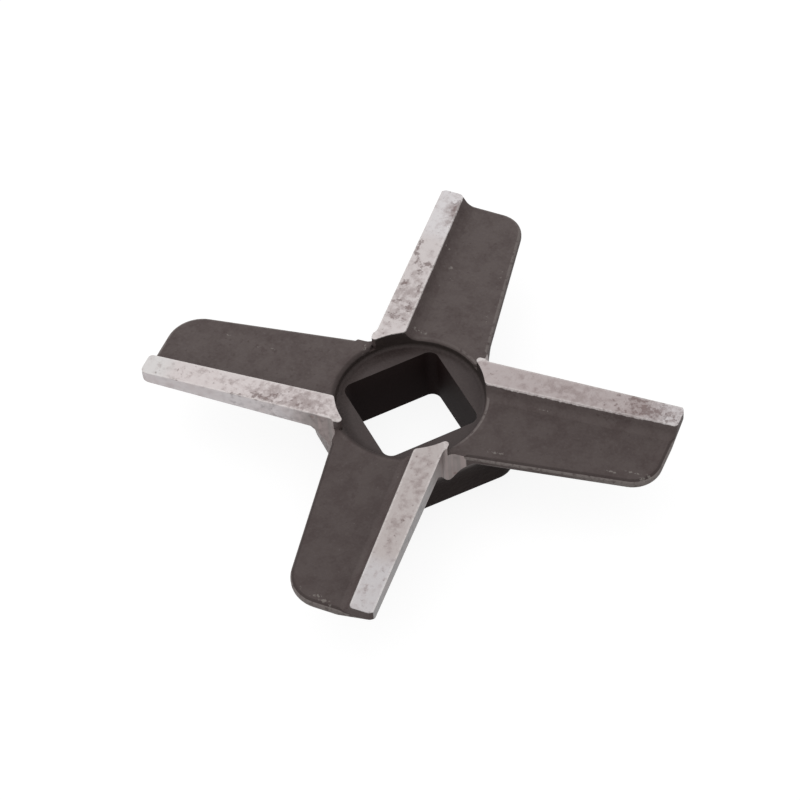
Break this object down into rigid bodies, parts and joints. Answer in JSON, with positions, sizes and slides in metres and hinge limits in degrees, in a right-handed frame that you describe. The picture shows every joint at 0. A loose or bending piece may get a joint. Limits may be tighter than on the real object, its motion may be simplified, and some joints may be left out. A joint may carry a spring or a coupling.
{
  "type": "meat grinder knife",
  "caption": "Cross-shaped cast grinder knife with ground cutting lands, a round recess and a square drive hole through its boss.",
  "frame": {"origin": "centre of the square drive hole, on the foot of the boss", "axes": "+Z along the drive hole towards the ground lands; X and Y square to the flats of the hole; the arms point close to the four diagonals"},
  "size_m": [0.052, 0.052, 0.0102],
  "materials": {
    "knife_metal": "dark as-cast skin, with the cutting lands, cutting faces and roots ground bright and lightly pitted"
  },
  "bodies": {
    "root": {"grinder_knife": "knife_metal"}
  },
  "joints": []
}
